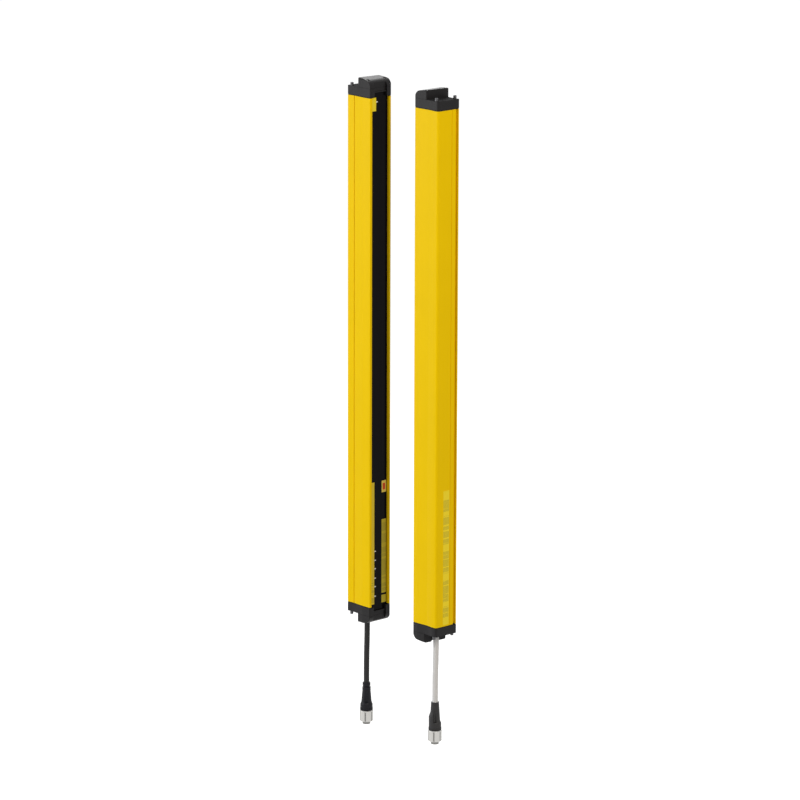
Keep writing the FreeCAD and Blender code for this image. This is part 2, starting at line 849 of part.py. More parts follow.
def bar_pieces(name, cable_run, body_shape, turned_bar):
    """All pieces of one bar, in the bar frame."""
    pieces = {
        "housing": housing(),
        "window": window(),
        "window_seals": window_seals(),
        "top_gasket": at_top(gasket()),
        "bottom_gasket": at_bottom(gasket()),
        "top_cap": at_top(cap(False)),
        "bottom_cap": at_bottom(cap(True)),
        "top_cap_screws": at_top(cap_screws()),
        "bottom_cap_screws": at_bottom(cap_screws()),
        "circuit_board": circuit_board(),
        "board_parts": board_parts(),
        "diodes": diodes(),
        "optics_carrier": optics_carrier(),
        "lens_strip": lens_strip(),
        "indicator_leds": indicator_leds(),
        "light_guide": light_guide(),
        "wire_socket": wire_socket(),
        "inner_lead": inner_lead(),
        "earth_spring": earth_spring(),
        "cable_bush": cable_bush(),
        "cable": cable(cable_run, turned_bar, name + " cable"),
    }
    plug = {
        "connector_body": connector_body(body_shape),
        "connector_insert": connector_insert(),
        "contact_pins": contact_pins(),
        "sealing_ring": sealing_ring(),
        "coupling_nut": coupling_nut(),
    }
    x, y = lean(turned_bar)
    plug_z = -housing_end - bush_end - cable_run - body_length
    for piece, shape in plug.items():
        shape.translate(Vector(cable_x + x, y, plug_z))
        pieces[piece] = shape
    return pieces


def write_bar(name, pieces, turned_bar):
    """Place a bar's pieces in the pair and write one file for each."""
    for piece, shape in pieces.items():
        placed = shape.copy()
        if turned_bar:
            placed.rotate(Vector(0, 0, 0), Vector(0, 0, 1), 180)
            placed.translate(Vector(2 * bar_depth + pair_gap, 0, 0))
        placed.exportStep("parts/%s_%s.step" % (name, piece))


def main():
    os.makedirs("parts", exist_ok=True)
    write_bar("receiver", bar_pieces("receiver", receiver_cable_run, ringed_body(), False), False)
    write_bar("emitter", bar_pieces("emitter", emitter_cable_run, shielded_body(), True), True)
    print("housing length %.1f, window %.1f, %d beams" %
          (housing_length, housing_length + 2 * window_overrun, beam_count))


main()
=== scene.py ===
"""Finishes and fine pieces of a safety light curtain: a receiver bar and an emitter bar.

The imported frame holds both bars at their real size. This script adds the stage, the leads, the
moulded plugs and nuts, the softened end caps, the labels and marks, and every surface finish.
Lengths are in metres.
"""
import json
import math

import bmesh
import bpy
from bpy.props import FloatProperty, FloatVectorProperty, IntProperty, PointerProperty
from mathutils import Matrix, Vector


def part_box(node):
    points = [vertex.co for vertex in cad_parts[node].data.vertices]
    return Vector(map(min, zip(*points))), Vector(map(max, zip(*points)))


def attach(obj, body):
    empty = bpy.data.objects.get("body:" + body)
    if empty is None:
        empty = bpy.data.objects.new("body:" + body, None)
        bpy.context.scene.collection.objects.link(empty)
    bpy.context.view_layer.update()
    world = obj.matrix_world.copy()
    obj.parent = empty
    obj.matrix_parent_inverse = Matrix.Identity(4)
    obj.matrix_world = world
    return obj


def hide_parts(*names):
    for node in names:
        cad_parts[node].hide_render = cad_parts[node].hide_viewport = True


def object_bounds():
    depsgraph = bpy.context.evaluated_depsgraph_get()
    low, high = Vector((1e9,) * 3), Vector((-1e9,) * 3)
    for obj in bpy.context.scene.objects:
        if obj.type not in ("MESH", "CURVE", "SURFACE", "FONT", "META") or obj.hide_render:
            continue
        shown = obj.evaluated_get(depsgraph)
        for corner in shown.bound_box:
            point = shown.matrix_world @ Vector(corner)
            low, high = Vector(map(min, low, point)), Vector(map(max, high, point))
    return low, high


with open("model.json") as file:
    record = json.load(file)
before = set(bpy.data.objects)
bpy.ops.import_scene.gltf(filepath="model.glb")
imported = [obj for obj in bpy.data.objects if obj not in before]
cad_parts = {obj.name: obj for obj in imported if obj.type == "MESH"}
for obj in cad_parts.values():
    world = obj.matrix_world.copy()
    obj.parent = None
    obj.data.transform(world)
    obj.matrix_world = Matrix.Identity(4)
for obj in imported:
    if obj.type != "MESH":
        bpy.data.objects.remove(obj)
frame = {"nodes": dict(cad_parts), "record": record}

bl_info = {
    "name": "Light curtain finishes",
    "version": (1, 0, 0),
    "blender": (4, 5, 0),
    "location": "View3D > Sidebar > Light curtain",
    "description": "Stage, leads, plugs, caps, labels and finishes of a light curtain pair",
    "category": "Object",
}

cad_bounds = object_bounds()
bars = ("receiver", "emitter")
body_of = {node: body for body, nodes in frame["record"]["behaviour"]["bodies"].items()
           for node in nodes}

white = (1.0, 1.0, 1.0)
# Turn and rise in degrees, distance, size, colour
lamp_places = {
    "key": (-36, 14, 2.4, 1.6, white),
    "fill": (74, 30, 2.6, 1.4, (1.0, 0.9, 0.76)),
    "rear": (226, 34, 2.4, 1.6, white),
}

# Control points of each lead, from the upper end of its bush to the top of its plug
cord_points = {
    "receiver": [(0.019, 0.0, -0.3442), (0.019, 0.0, -0.37871),
                 (0.018364, -0.000636, -0.41119), (0.018364, -0.000636, -0.4457)],
    "emitter": [(0.1524, 0.0, -0.3442), (0.1524, 0.0, -0.37735),
                (0.151764, -0.000636, -0.40855), (0.151764, -0.000636, -0.4417)],
}
cord_diameter = 0.0074

# Radius of the thread's root, the share of the pitch that its ridge fills, and steps in a turn
thread_root = 0.00692
thread_base = 0.7
thread_steps = 36

# Height of the caps' low step above the housing, and how far its coarse grain reaches
cap_step_rise = 0.0124
cap_step_slack = 0.0002

# Share of a nut's radius inside which painted shade darkens its flutes and bore, and the bands at
# its lower and upper end that are left unshaded and smooth
nut_shade_share = 0.975
nut_foot = 0.0007
nut_shoulder = 0.0014

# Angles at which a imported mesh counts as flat, gets a rounded edge, or is shaded sharp
flat_angle = math.radians(0.5)
edge_angle = math.radians(30)
shade_angle = math.radians(35)
merge_distance = 1e-6

# Pitch of each foil's printed lines, and the ranges of height that they fill
foil_prints = {
    "legend": (0.0016, [(-0.332, -0.3245), (-0.3195, -0.3115), (-0.3085, -0.301)]),
    "notice": (0.0016, [(-0.318, -0.3055), (-0.302, -0.2405), (-0.237, -0.2245)]),
    "plate": (0.0014, [(-0.3235, -0.309), (-0.303, -0.2745), (-0.2655, -0.236),
                       (-0.2265, -0.189), (-0.1835, -0.168)]),
    "small": (0.0016, []),
    "spot": (0.0016, []),
    "mark": (0.0016, []),
}
# Bar, foils below it, range across, range of height, foil
label_places = {
    "receiver_top_label": ("receiver", 0, (-0.0146, -0.0048), (0.3178, 0.3352), "plate"),
    "receiver_legend": ("receiver", 0, (-0.0146, -0.0067), (-0.3335, -0.1695), "legend"),
    "receiver_small_label": ("receiver", 0, (0.0059, 0.0137), (-0.185, -0.1693), "small"),
    "receiver_notice": ("receiver", 0, (0.0059, 0.0137), (-0.3205, -0.221), "notice"),
    "receiver_foot_label": ("receiver", 0, (0.0059, 0.0137), (-0.3335, -0.3232), "notice"),
    "emitter_type_plate": ("emitter", 0, (-0.006, 0.0042), (-0.3335, -0.156), "plate"),
    "receiver_small_label_spot": ("receiver", 1, (0.0078, 0.0118), (-0.1815, -0.1728), "spot"),
}
# Place across the receiver's window, heights
arrow_places = {
    "receiver_lamp_arrows": (-0.0052, (-0.3229, -0.3099, -0.2984, -0.2857, -0.2743, -0.2623)),
    "receiver_top_arrow": (-0.0034, (0.3295,)),
}
arrow_length = 0.0030
arrow_width = 0.0025

# Colours of the pieces inside the bars and plugs
inner_colours = {
    "clear": (0.8, 0.82, 0.83),
    "lamp": (0.75, 0.75, 0.7),
    "board": (0.02, 0.15, 0.055),
    "chip": (0.03, 0.03, 0.03),
    "socket": (0.72, 0.69, 0.58),
    "spring": (0.6, 0.6, 0.6),
    "gold": (0.83, 0.6, 0.2),
}


def colour_property(name, description, default):
    """Colour setting with plain linear values."""
    return FloatVectorProperty(name=name, description=description, default=default,
                               subtype="COLOR", size=3, min=0.0, max=1.0)


def length_property(name, description, default):
    """Length setting in metres."""
    return FloatProperty(name=name, description=description, default=default, min=0.0,
                         unit="LENGTH", precision=5)


def offset_property(name, description, default):
    """Length setting in metres that may be negative."""
    return FloatProperty(name=name, description=description, default=default, unit="LENGTH",
                         precision=5)


def angle_property(name, description, degrees):
    """Angle setting."""
    return FloatProperty(name=name, description=description, default=math.radians(degrees),
                         unit="ROTATION")


def strength_property(name, description, default):
    """Brightness or power setting."""
    return FloatProperty(name=name, description=description, default=default, min=0.0)


class LIGHTCURTAIN_PG_stage(bpy.types.PropertyGroup):
    """Camera, floor and lamps."""

    azimuth: angle_property("Azimuth", "Camera's turn round the pair", 47.92)
    elevation: angle_property("Elevation", "Camera's height angle", 13.47)
    roll: angle_property("Roll", "Camera's roll", 0.17)
    distance: length_property("Distance", "Camera's distance from its aim", 5.9046)
    aim_right: offset_property(
        "Aim right", "Aim's offset to the right of the pair's middle", -0.00284)
    aim_up: offset_property("Aim up", "Aim's offset above the pair's middle", -0.05102)
    lens: FloatProperty(
        name="Lens", description="Focal length on a 36 mm sensor, in millimetres", default=207.42,
        min=1.0)
    floor_drop: length_property("Floor drop", "Gap between the plugs and the floor", 0.16)
    floor_size: length_property("Floor size", "Side of the square floor", 30.0)
    floor_colour: colour_property(
        "Floor colour", "Matt floor without its lift", (0.46, 0.46, 0.46))
    floor_lift: strength_property(
        "Floor lift", "Brightness added where the camera sees the floor", 0.82)
    sky: strength_property("Sky", "Strength of the even light from all round", 0.46)
    key_power: strength_property(
        "Key lamp", "Power of the lamp at the camera's left, in watts", 35.0)
    fill_power: strength_property(
        "Fill lamp", "Power of the lamp at the camera's right, in watts", 32.0)
    rear_power: strength_property(
        "Rear lamp", "Power of the lamp behind the pair, in watts", 22.0)


class LIGHTCURTAIN_PG_finish(bpy.types.PropertyGroup):
    """Colours of the finishes."""

    paint: colour_property("Paint", "Yellow powder coat of the housings", (0.86, 0.575, 0.0))
    window: colour_property("Window", "Infrared-pass window strip", (0.004, 0.0035, 0.004))
    cap: colour_property("End caps", "Moulded end caps", (0.012, 0.0115, 0.0125))
    rubber: colour_property("Rubber", "Gaskets, bushes and rings", (0.01, 0.01, 0.01))
    screw: colour_property("Screws", "Blackened screw steel", (0.09, 0.09, 0.095))
    receiver_lead: colour_property("Receiver lead", "Black sheath", (0.03, 0.03, 0.031))
    emitter_lead: colour_property("Emitter lead", "Grey sheath", (0.66, 0.66, 0.665))
    receiver_plug: colour_property("Receiver plug", "Moulded plug body", (0.011, 0.011, 0.015))
    emitter_plug: colour_property("Emitter plug", "Moulded plug body", (0.038, 0.038, 0.04))
    nickel: colour_property("Nickel", "Coupling nuts and their threads", (0.46, 0.455, 0.44))
    sleeve: colour_property("Sleeve", "Duller nickel of the plug sleeves", (0.2, 0.198, 0.19))
    plate: colour_property(
        "Type plate", "Emitter's plate and receiver's top label", (0.88, 0.70, 0.03))
    legend: colour_property("Legend", "Strip beside the receiver's lamps", (0.72, 0.55, 0.035))
    notice: colour_property(
        "Notice", "Long label and foot label on the receiver's window", (0.55, 0.44, 0.035))
    small: colour_property("Small label", "Label above the notice", (0.85, 0.63, 0.12))
    ink: colour_property("Ink", "Generic lines printed on the labels", (0.16, 0.15, 0.03))
    mark: colour_property("Mark", "Arrows beside the receiver's lamps", (0.82, 0.81, 0.78))
    spot: colour_property("Spot", "Middle of the receiver's small label", (0.66, 0.07, 0.02))


class LIGHTCURTAIN_PG_detail(bpy.types.PropertyGroup):
    """Sizes of the fine pieces."""

    moulded_edge: length_property(
        "Moulded edge", "Rounded edge of caps, bushes and plugs", 0.0004)
    metal_edge: length_property(
        "Metal edge", "Broken edge of screws, plug sleeves and nuts", 0.00018)
    rib_count: IntProperty(
        name="Ribs", description="Grip ribs round each plug's wide band", default=30, min=3)
    rib_height: length_property("Rib height", "Height of a grip rib", 0.0030)
    rib_width: length_property("Rib width", "Width of a grip rib", 0.0008)
    rib_rise: length_property("Rib rise", "How far a rib stands out of the plug", 0.00024)
    rib_root: length_property("Rib root", "How far a rib reaches into the plug", 0.00064)
    rib_lift: length_property("Rib lift", "Gap between the ribs and the plug's end", 0.0003)
    thread_pitch: length_property("Thread pitch", "Pitch of the nuts' inner thread", 0.0010)
    thread_depth: length_property("Thread depth", "Depth of the nuts' inner thread", 0.0005)
    foil: length_property("Foil", "Thickness of labels and marks", 0.00012)


class Wire:
    """Value on a node's output socket, with arithmetic that adds Math nodes."""

    def __init__(self, shader, socket):
        self.shader = shader
        self.socket = socket

    def output(self, name):
        """Another output of the same node, by its name or number."""
        return Wire(self.shader, self.socket.node.outputs[name])

    def math(self, operation, *values):
        """Math node with this value first."""
        return self.shader.add("Math", {"operation": operation}, dict(enumerate((self, *values))))

    def __add__(self, other):
        return self.math("ADD", other)

    __radd__ = __add__

    def __mul__(self, other):
        return self.math("MULTIPLY", other)

    __rmul__ = __mul__

    def __sub__(self, other):
        return self.math("SUBTRACT", other)

    def __rsub__(self, other):
        return (self * -1.0).math("ADD", other)

    def __gt__(self, other):
        return self.math("GREATER_THAN", other)

    def __lt__(self, other):
        return self.math("LESS_THAN", other)


class Shader:
    """Node tree of one material or world."""

    def __init__(self, tree):
        self.tree = tree
        self.tree.nodes.clear()

    def add(self, kind, settings=None, inputs=None):
        """Add a node: its settings first, then the values or wires of its sockets."""
        node = self.tree.nodes.new("ShaderNode" + kind)
        for name, value in (settings or {}).items():
            setattr(node, name, value)
        for name, value in (inputs or {}).items():
            if isinstance(value, Wire):
                self.tree.links.new(value.socket, node.inputs[name])
            else:
                node.inputs[name].default_value = value
        return Wire(self, node.outputs[0]) if node.outputs else None

    def place(self):
        """Object coordinates, which are the frame's own metres."""
        return self.add("TexCoord").output("Object")

    def axes(self):
        """The three object coordinates as separate values."""
        split = self.add("SeparateXYZ", None, {0: self.place()})
        return [split.output(name) for name in "XYZ"]

    def noise(self, size, detail=2.0, scale=(1.0, 1.0, 1.0)):
        """Noise value from 0 to 1 whose blobs are about size metres across, before the scale."""
        stretched = self.add("Mapping", {"vector_type": "POINT"},
                             {"Vector": self.place(), "Scale": scale})
        return self.add("TexNoise", None, {"Vector": stretched, "Scale": 1.0 / size,
                                           "Detail": detail})

    def tint(self, low, high, factor):
        """Colour between two colours. The Mix node's colour sockets go by number."""
        return self.add("Mix", {"data_type": "RGBA"},
                        {0: factor, 6: (*low, 1.0), 7: (*high, 1.0)}).output(2)

    def varied(self, colour, low, high, factor):
        """Colour between two multiples of a colour."""
        low, high = [tuple(min(1.0, part * share) for part in colour) for share in (low, high)]
        return self.tint(low, high, factor)

    def bump(self, height, strength, distance):
        """Normal from a height value."""
        return self.add("Bump", None, {"Height": height, "Strength": strength,
                                       "Distance": distance})

    def seen_directly(self):
        """1 for camera, glossy and transmission rays, 0 for the light on the object."""
        path = self.add("LightPath")
        seen = path.output("Is Camera Ray").math("MAXIMUM", path.output("Is Glossy Ray"))
        return seen.math("MAXIMUM", path.output("Is Transmission Ray"))


def finish(name, surface):
    """Material whose Principled shader has the values or wires in surface(shader), made once."""
    if name in bpy.data.materials:
        return bpy.data.materials[name]
    material = bpy.data.materials.new(name)
    material.use_nodes = True
    shader = Shader(material.node_tree)
    principled = shader.add("BsdfPrincipled", None, surface(shader))
    shader.add("OutputMaterial", None, {"Surface": principled})
    return material


def paint_finish(colour):
    """Semi-gloss powder coat with a fine orange peel."""
    def surface(shader):
        cloud = shader.noise(0.06, detail=3.0)
        peel = shader.noise(0.0011)
        speck = shader.noise(0.0004, detail=1.0)
        return {
            "Base Color": shader.varied(colour, 0.965, 1.035, cloud),
            "Roughness": 0.36 + 0.08 * speck,
            "Normal": shader.bump(peel, 0.22, 0.00012),
            "Specular IOR Level": 0.06,
        }
    return finish("Yellow powder coat", surface)


def window_finish(colour):
    """Glossy infrared-pass acrylic with a faint drawn texture."""
    def surface(shader):
        drawn = shader.noise(0.004, scale=(1.0, 1.0, 0.04))
        return {
            "Base Color": shader.varied(colour, 0.8, 1.3, drawn),
            "Roughness": 0.16 + 0.06 * drawn,
            "Specular IOR Level": 0.045,
        }
    return finish("Window acrylic", surface)


def moulded_surface(shader, colour, roughness, spread=0.12):
    """Values of plastic or rubber with a spark-eroded grain."""
    pits = shader.noise(0.0005, detail=3.0)
    return {
        "Base Color": shader.varied(colour, 1 - spread, 1 + spread, shader.noise(0.02)),
        "Roughness": roughness - 0.05 + 0.1 * pits,
        "Normal": shader.bump(pits, 0.35, 0.00006),
        "Specular IOR Level": 0.14,
    }


def moulded_finish(name, colour, roughness, spread=0.12):
    """Moulded plastic or rubber."""
    return finish(name, lambda shader: moulded_surface(shader, colour, roughness, spread))


def cap_finish(colour):
    """Moulded caps that are duller on the low step round the screws."""
    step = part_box("receiver_housing")[1].z + cap_step_rise

    def surface(shader):
        height = shader.axes()[2].math("ABSOLUTE")
        coarse = (height > step - cap_step_slack) * (height < step + cap_step_slack)
        return moulded_surface(shader, colour, 0.42 + 0.5 * coarse)
    return finish("Cap moulding", surface)


def tool_marks(shader):
    """Fine upright tool marks, and the normal that they give."""
    marks = shader.noise(0.0006, detail=3.0, scale=(1.0, 1.0, 0.15))
    return marks, shader.bump(marks, 0.12, 0.00004)


def metal_finish(name, colour, roughness):
    """Plated or drawn metal with fine tool marks."""
    def surface(shader):
        marks, normal = tool_marks(shader)
        return {
            "Base Color": shader.varied(colour, 0.92, 1.04, marks),
            "Roughness": roughness - 0.05 + 0.1 * marks,
            "Normal": normal,
            "Metallic": 1.0,
        }
    return finish(name, surface)


def nut_finish(name, colour, bar):
    """Nickel with painted shade: darker and rougher in the nut's flutes and bore than on its
    faces.
    """
    low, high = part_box(bar + "_coupling_nut")
    middle = (low + high) / 2
    shade_radius = (high.y - low.y) / 2 * nut_shade_share

    def surface(shader):
        across, along, height = shader.axes()
        reach = ((across - middle.x) * (across - middle.x)
                 + (along - middle.y) * (along - middle.y)).math("SQRT")
        band = (height > low.z + nut_foot) * (height < high.z - nut_shoulder)
        # Flutes and bore: painted shade darkens the colour here, and the roughness rises
        flute_shade = (reach < shade_radius) * band
        marks, normal = tool_marks(shader)
        return {
            # Colour falls to 0.42 of the nickel in the flutes and bore as painted shade
            "Base Color": shader.varied(colour, 1.08, 0.42, flute_shade * 0.85 + marks * 0.15),
            "Roughness": 0.26 + 0.14 * flute_shade + 0.08 * marks,
            "Normal": normal,
            "Metallic": 1.0,
        }
    return finish(name, surface)


def clear_finish(name, colour):
    """Clear moulding of the hidden lenses and light guides."""
    def surface(shader):
        flow = shader.noise(0.01)
        return {
            "Base Color": shader.varied(colour, 0.95, 1.0, flow),
            "Roughness": 0.05 + 0.03 * flow,
            "Transmission Weight": 0.9,
            "IOR": 1.49,
        }
    return finish(name, surface)


def sheath_finish(name, colour):
    """Matt cable sheath with a faint extruded grain along its length."""
    def surface(shader):
        grain = shader.noise(0.0006, scale=(1.0, 1.0, 0.2))
        return {
            "Base Color": shader.varied(colour, 0.93, 1.05, shader.noise(0.015)),
            "Roughness": 0.5 + 0.12 * grain,
            "Normal": shader.bump(grain, 0.2, 0.00005),
            "Specular IOR Level": 0.14,
        }
    return finish(name, surface)


def foil_finish(name, colour, ink, pitch, rows):
    """Foil with generic broken lines along z, printed in rows of heights."""
    def surface(shader):
        _, across, height = shader.axes()
        lines = (across * (1 / pitch)).math("FRACT") < 0.45
        breaks = shader.noise(0.0035, detail=1.0, scale=(0.02, 0.02, 1.0)) > 0.42
        printed = 0.0
        for low, high in rows:
            printed = (height > low) * (height < high) + printed
        return {
            "Base Color": shader.tint(colour, ink, lines * breaks * printed * 0.6),
            "Roughness": 0.38 + 0.06 * shader.noise(0.002),
            "Specular IOR Level": 0.12,
        }
    return finish(name, surface)


def node_finishes(colours, bar):
    """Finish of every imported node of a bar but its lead, by the node's name after the bar's."""
    cap = cap_finish(colours.cap)
    rubber = moulded_finish("Black rubber", colours.rubber, 0.7)
    clear = clear_finish("Clear moulding", inner_colours["clear"])
    lamp = moulded_finish("Lamp package", inner_colours["lamp"], 0.35, spread=0.04)
    steel = metal_finish("Blackened steel", colours.screw, 0.42)
    prefix = bar.capitalize()
    return {
        "housing": paint_finish(colours.paint),
        "window": window_finish(colours.window),
        "window_seals": rubber,
        "top_gasket": rubber,
        "bottom_gasket": rubber,
        "top_cap": cap,
        "bottom_cap": cap,
        "top_cap_screws": steel,
        "bottom_cap_screws": steel,
        "circuit_board": moulded_finish("Solder mask", inner_colours["board"], 0.35),
        "board_parts": moulded_finish("Chip moulding", inner_colours["chip"], 0.55),
        "diodes": lamp,
        "optics_carrier": cap,
        "lens_strip": clear,
        "indicator_leds": lamp,
        "light_guide": clear,
        "wire_socket": moulded_finish("Socket moulding", inner_colours["socket"], 0.5,
                                      spread=0.04),
        "inner_lead": rubber,
        "earth_spring": metal_finish("Spring steel", inner_colours["spring"], 0.3),
        "cable_bush": rubber,
        "connector_body": moulded_finish(prefix + " plug moulding",
                                         getattr(colours, bar + "_plug"), 0.42),
        "connector_insert": metal_finish("Sleeve nickel", colours.sleeve, 0.36),
        "contact_pins": metal_finish("Gold flash", inner_colours["gold"], 0.25),
        "sealing_ring": rubber,
        "coupling_nut": nut_finish(prefix + " nut nickel", colours.nickel, bar),
    }


def new_piece(name, data, material, body):
    """Object of finished mesh or curve data that rides on a body."""
    piece = bpy.data.objects.new(name, data)
    bpy.context.scene.collection.objects.link(piece)
    data.materials.append(material)
    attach(piece, body)
    return piece


def mesh_of(form, name):
    """Mesh of a bmesh, smooth except over its sharp edges."""
    mesh = bpy.data.meshes.new(name)
    form.to_mesh(mesh)
    form.free()
    mesh.shade_smooth()
    mesh.set_sharp_from_angle(angle=shade_angle)
    return mesh


def softened(node, width):
    """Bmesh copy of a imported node, with its edges rounded by a width."""
    form = bmesh.new()
    form.from_mesh(frame["nodes"][node].data)
    bmesh.ops.remove_doubles(form, verts=form.verts, dist=merge_distance)
    bmesh.ops.dissolve_limit(form, angle_limit=flat_angle, verts=form.verts, edges=form.edges)
    edges = [edge for edge in form.edges
             if edge.is_manifold and edge.calc_face_angle() > edge_angle]
    bmesh.ops.bevel(form, geom=edges, offset=width, segments=2, profile=0.5, affect="EDGES",
                    clamp_overlap=True, material=-1)
    return form


def dressed(bar, node, name, form, colours):
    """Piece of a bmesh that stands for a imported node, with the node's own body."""
    node_name = "%s_%s" % (bar, node)
    piece = new_piece("%s_%s" % (bar, name), mesh_of(form, name),
                      node_finishes(colours, bar)[node], body_of[node_name])
    weights = piece.modifiers.new("Flat faces", "WEIGHTED_NORMAL")
    weights.keep_sharp = True
    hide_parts(node_name)
    return piece


def direction(turn, rise):
    """Unit vector from the pair's middle towards a turn round it and a rise above it."""
    return Vector((math.sin(turn) * math.cos(rise), -math.cos(turn) * math.cos(rise),
                   math.sin(rise)))


class LIGHTCURTAIN_OT_stage(bpy.types.Operator):
    """Make the camera, floor, sky and lamps"""

    bl_idname = "lightcurtain.stage"
    bl_label = "Stage"

    def execute(self, context):
        sizes = context.scene.lightcurtain_stage
        low, high = cad_bounds
        middle = Vector(((low.x + high.x) / 2, 0, 0))
        self.make_camera(context, sizes, middle)
        self.make_floor(context, sizes, Vector((middle.x, 0, low.z - sizes.floor_drop)))
        self.make_sky(context, sizes)
        for name, place in lamp_places.items():
            self.make_lamp(context, name, middle, getattr(sizes, name + "_power"), *place)
        context.scene.view_settings.view_transform = "Standard"
        return {"FINISHED"}

    def make_camera(self, context, sizes, middle):
        """Camera at the place fitted to the photograph."""
        back = direction(sizes.azimuth, sizes.elevation)
        level = Vector((math.cos(sizes.azimuth), math.sin(sizes.azimuth), 0))
        upright = back.cross(level)
        right = level * math.cos(sizes.roll) + upright * math.sin(sizes.roll)
        up = upright * math.cos(sizes.roll) - level * math.sin(sizes.roll)
        aim = middle + right * sizes.aim_right + up * sizes.aim_up
        axes = Matrix((right, up, back)).transposed()
        camera = bpy.data.objects.new("Camera", bpy.data.cameras.new("Camera"))
        camera.matrix_world = Matrix.Translation(aim + back * sizes.distance) @ axes.to_4x4()
        camera.data.lens = sizes.lens
        camera.data.clip_start = 0.1
        camera.data.clip_end = 50.0
        context.scene.collection.objects.link(camera)
        context.scene.camera = camera

    def make_floor(self, context, sizes, place):
        """Pale floor that keeps the object's shadow."""
        form = bmesh.new()
        bmesh.ops.create_grid(form, x_segments=1, y_segments=1, size=sizes.floor_size / 2)
        bmesh.ops.translate(form, vec=place, verts=form.verts)
        floor = bpy.data.objects.new("Floor", mesh_of(form, "Floor"))
        context.scene.collection.objects.link(floor)
        material = bpy.data.materials.new("Pale floor")
        material.use_nodes = True
        shader = Shader(material.node_tree)
        matt = shader.add("BsdfDiffuse", None, {"Color": (*sizes.floor_colour, 1.0)})
        glow = shader.add("Emission", None,
                          {"Strength": shader.seen_directly() * sizes.floor_lift})
        both = shader.add("AddShader", None, {0: matt, 1: glow})
        shader.add("OutputMaterial", None, {"Surface": both})
        floor.data.materials.append(material)

    def make_sky(self, context, sizes):
        """Even white surroundings that the camera sees as plain white."""
        world = bpy.data.worlds.new("Studio")
        world.use_nodes = True
        context.scene.world = world
        shader = Shader(world.node_tree)
        seen = shader.seen_directly()
        sky = shader.add("Background", None, {"Color": (*white, 1.0),
                                              "Strength": seen + (1 - seen) * sizes.sky})
        shader.add("OutputWorld", None, {"Surface": sky})

    def make_lamp(self, context, name, middle, power, turn, rise, distance, size, colour):
        """Soft square lamp that points at the pair's middle, turn and rise in degrees."""
        back = direction(math.radians(turn), math.radians(rise))
        data = bpy.data.lights.new(name.capitalize() + " lamp", "AREA")
        data.shape = "SQUARE"
        data.size = size
        data.energy = power
        data.color = colour
        lamp = bpy.data.objects.new(data.name, data)
        lamp.location = middle + back * distance
        lamp.rotation_mode = "QUATERNION"
        lamp.rotation_quaternion = (-back).to_track_quat("-Z", "Y")
        context.scene.collection.objects.link(lamp)


class LIGHTCURTAIN_OT_finishes(bpy.types.Operator):
    """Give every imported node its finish"""

    bl_idname = "lightcurtain.finishes"
    bl_label = "Finishes"

    def execute(self, context):
        for bar in bars:
            finishes = node_finishes(context.scene.lightcurtain_finish, bar)
            for node, material in finishes.items():
                for slot in frame["nodes"]["%s_%s" % (bar, node)].material_slots:
                    slot.material = material
        return {"FINISHED"}


class LIGHTCURTAIN_OT_caps(bpy.types.Operator):
    """Make the end caps, their screws and the cable bushes with softened edges"""

    bl_idname = "lightcurtain.caps"
    bl_label = "End caps"

    def execute(self, context):
        colours = context.scene.lightcurtain_finish
        sizes = context.scene.lightcurtain_detail
        for bar in bars:
            for end in ("top", "bottom"):
                cap = softened("%s_%s_cap" % (bar, end), sizes.moulded_edge)
                dressed(bar, end + "_cap", end + "_cap_moulding", cap, colours)
                screws = softened("%s_%s_cap_screws" % (bar, end), sizes.metal_edge)
                dressed(bar, end + "_cap_screws", end + "_slotted_screws", screws, colours)
            bush = softened(bar + "_cable_bush", sizes.moulded_edge)
            dressed(bar, "cable_bush", "bush_moulding", bush, colours)
        return {"FINISHED"}


class LIGHTCURTAIN_OT_plugs(bpy.types.Operator):
    """Make the plug bodies with their grip ribs, and the sleeves below them"""

    bl_idname = "lightcurtain.plugs"
    bl_label = "Plugs"

    def execute(self, context):
        colours = context.scene.lightcurtain_finish
        sizes = context.scene.lightcurtain_detail
        for bar in bars:
            body = softened(bar + "_connector_body", sizes.moulded_edge)
            self.add_ribs(body, bar, sizes)
            dressed(bar, "connector_body", "plug_moulding", body, colours)
            sleeve = softened(bar + "_connector_insert", sizes.metal_edge)
            dressed(bar, "connector_insert", "plug_sleeve", sleeve, colours)
        return {"FINISHED"}

    def add_ribs(self, form, bar, sizes):
        """Small upright ribs round the lower edge of the plug's band."""
        low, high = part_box(bar + "_connector_body")
        middle = (low + high) / 2
        radius = (high.y - low.y) / 2 + (sizes.rib_rise - sizes.rib_root) / 2
        reach = Matrix.Translation((radius, 0, 0))
        scale = Matrix.Diagonal((sizes.rib_rise + sizes.rib_root, sizes.rib_width,
                                 sizes.rib_height, 1))
        place = Matrix.Translation((middle.x, middle.y,
                                    low.z + sizes.rib_lift + sizes.rib_height / 2))
        for number in range(sizes.rib_count):
            turn = Matrix.Rotation(2 * math.pi * number / sizes.rib_count, 4, "Z")
            bmesh.ops.create_cube(form, size=1.0, matrix=place @ turn @ reach @ scale)


